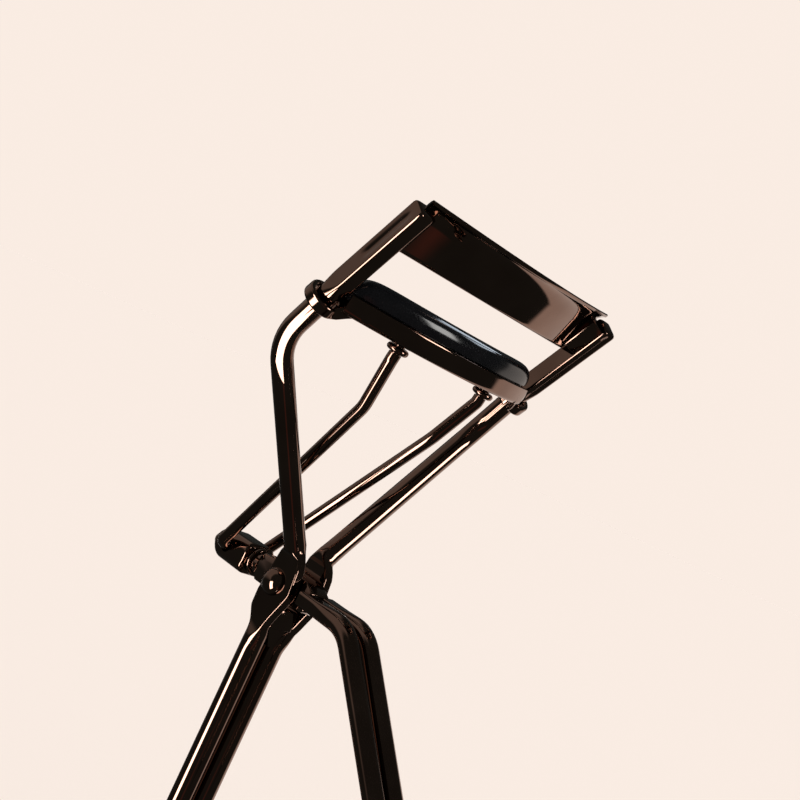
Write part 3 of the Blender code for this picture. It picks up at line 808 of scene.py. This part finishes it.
# What the plating mirrors: each light's direction as the camera sees it (right, up, towards the camera),
# the turn of its long side, its half width and half height, how soft its edge is, colour and strength
SOFTBOXES = {
    "ceiling": ((-0.50, 0.80, -0.30), 0, 0.56, 0.56, 0.10, (1.0, 0.92, 0.85), 0.34),
    "left strip": ((-0.77, -0.09, 0.60), 0, 0.36, 0.18, 0.05, (1.0, 0.97, 0.93), 14.0),
    "right strip": ((0.895, -0.22, 0.39), 0, 0.19, 0.13, 0.02, (1.0, 0.98, 0.95), 12.0),
    "red cloth": ((0.10, -0.62, 0.77), 90, 0.30, 0.10, 0.06, (1.0, 0.42, 0.34), 0.14),
}

# A pale table behind the part, mirrored too: where it is, how wide it reaches and where its top edge cuts it
TABLE_TOWARDS, TABLE_EDGE, TABLE_TOP = (0.35, -0.25, -0.90), 0.72, -0.06

# Small lamps that each put one highlight on one piece: direction as above, distance, size, radiance, colour
LAMPS = {
    "rivet lamp": ((0.38, -0.90, 0.20), 60.0, 34.0, 7.0, (1.0, 1.0, 1.0)),
    "bend lamp": ((-0.45, -0.70, 0.55), 9.0, 8.0, 12.0, (1.0, 0.97, 0.93)),
    "pad lamp": ((0.86, 0.39, -0.33), 40.0, 22.0, 8.5, (0.78, 0.88, 1.0)),
}


def studio_floor():
    half_size, drop = 6.0, 0.0005
    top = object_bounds()[0][2] - drop
    mesh = bmesh.new()
    place = Matrix.Translation((0, 0, top))
    bmesh.ops.create_grid(mesh, x_segments=1, y_segments=1, size=half_size, matrix=place)
    data = bpy.data.meshes.new("floor")
    mesh.to_mesh(data)
    mesh.free()
    nodes = Nodes(bpy.data.materials.new("floor_paint"))
    nodes.shade(base_color=(*BACKDROP, 1), roughness=1.0, specular_ior_level=0.0)
    data.materials.append(nodes.owner)
    floor = bpy.data.objects.new("floor", data)
    bpy.context.scene.collection.objects.link(floor)
    floor.visible_glossy = False


def small_lamp(camera, name, spot, piece):
    direction, distance, size, radiance, colour = LAMPS[name]
    data = bpy.data.lights.new(name, "AREA")
    data.shape, data.size, data.color = "SQUARE", size * MM, colour
    data.energy = radiance * math.pi * (size * MM) ** 2
    lamp = bpy.data.objects.new(name, data)
    away = (camera.matrix_world.to_3x3() @ Vector(direction)).normalized()
    lamp.location = (spot + PIVOT) * MM + away * distance * MM
    lamp.rotation_euler = away.to_track_quat("Z", "Y").to_euler()
    lamp.visible_camera = lamp.visible_diffuse = False
    lit = bpy.data.collections.new(name + " lights")
    lit.objects.link(piece)
    lamp.light_linking.receiver_collection = lit
    bpy.context.scene.collection.objects.link(lamp)


def studio_world(camera):
    """A pale backdrop for the eye, even light on dull surfaces, and a dark studio for the mirror plating."""
    world = bpy.data.worlds.new("studio")
    nodes = Nodes(world)
    ray = nodes.add("ShaderNodeTexCoord").outputs["Generated"]
    axes = camera.matrix_world.to_3x3()

    def towards(direction):
        inputs = {0: ray, 1: tuple(axes @ Vector(direction))}
        return nodes.add("ShaderNodeVectorMath", inputs, operation="DOT_PRODUCT").outputs["Value"]

    def ramp(value, low, high):
        return nodes.span(value, low, high, 0.0, 1.0, interpolation_type="SMOOTHSTEP")

    table = ramp(towards(Vector(TABLE_TOWARDS).normalized()), TABLE_EDGE - 0.02, TABLE_EDGE + 0.02)
    table = nodes.math("MULTIPLY", table, ramp(towards(Y_AXIS), TABLE_TOP + 0.08, TABLE_TOP))
    mirrored = nodes.blend_colour(table, ROOM, BACKDROP)
    for direction, turn, half_width, half_height, edge, colour, strength in SOFTBOXES.values():
        middle = Vector(direction).normalized()
        side = Vector((-middle.y, middle.x, 0)).normalized()
        side = Matrix.Rotation(math.radians(turn), 3, middle) @ side
        mask = ramp(towards(middle), 0.0, 0.1)
        for axis, half in ((side, half_width), (middle.cross(side), half_height)):
            off_axis = nodes.math("ABSOLUTE", towards(axis))
            mask = nodes.math("MULTIPLY", mask, ramp(off_axis, half + edge, half - edge))
        mirrored = nodes.blend_colour(mask, mirrored, tuple(channel * strength for channel in colour))

    path = nodes.add("ShaderNodeLightPath").outputs
    unseen = nodes.blend_colour(path["Is Glossy Ray"], FLOOR_LIGHT, mirrored)
    seen = nodes.blend_colour(path["Is Camera Ray"], unseen, BACKDROP)
    nodes.put(nodes.tree.nodes["Background"].inputs["Color"], seen)
    bpy.context.scene.world = world
    bpy.context.scene.view_settings.view_transform = "Standard"


def main():
    steel, silicone = dark_plating(), black_silicone()
    wire = show(frame_wire(steel), "frame", "dark_steel", "frame_wire_left", "frame_wire_right")
    rivet = show(pivot_rivet(steel), "frame", "dark_steel", "pivot_rivet")
    show(spacer(steel), "frame", "dark_steel", "spacer_block")
    show(upper_jaw(steel), "frame", "dark_steel", "upper_jaw")
    show(lower_jaw(steel), "jaw", "dark_steel", "lower_jaw")
    pad = show(lash_pad(silicone), "jaw", "black_rubber", "lash_pad")
    for side, word in ((-1, "left"), (1, "right")):
        show(push_rod("rod_" + word, side, steel), "push_rods", "dark_steel", "push_rod_" + word)
        show(rod_collar("collar_" + word, side, steel), "push_rods", "dark_steel", "rod_collar_" + word)
    show(lever_wire(steel), "lever", "dark_steel", "lever_wire_left", "lever_wire_right")
    show(lever_block(steel), "lever", "dark_steel", "lever_block")
    show(crosshead(steel), "lever", "dark_steel", "crosshead")
    show(swivel_stud(steel), "lever", "dark_steel", "swivel_stud")
    show(stud_washer(steel), "lever", "dark_steel", "stud_washer")
    studio_floor()
    studio_world(camera)
    rivet_head, left_bend = Vector((-3.3, 0, 0)), Vector((-RAIL_X, -2.0, 28.5))
    pad_shoulder = arc_point(-2.0, BASE, 1.2, 4.2, LOWER_LEAN)
    small_lamp(camera, "rivet lamp", rivet_head, rivet)
    small_lamp(camera, "bend lamp", left_bend, wire)
    small_lamp(camera, "pad lamp", pad_shoulder, pad)


main()
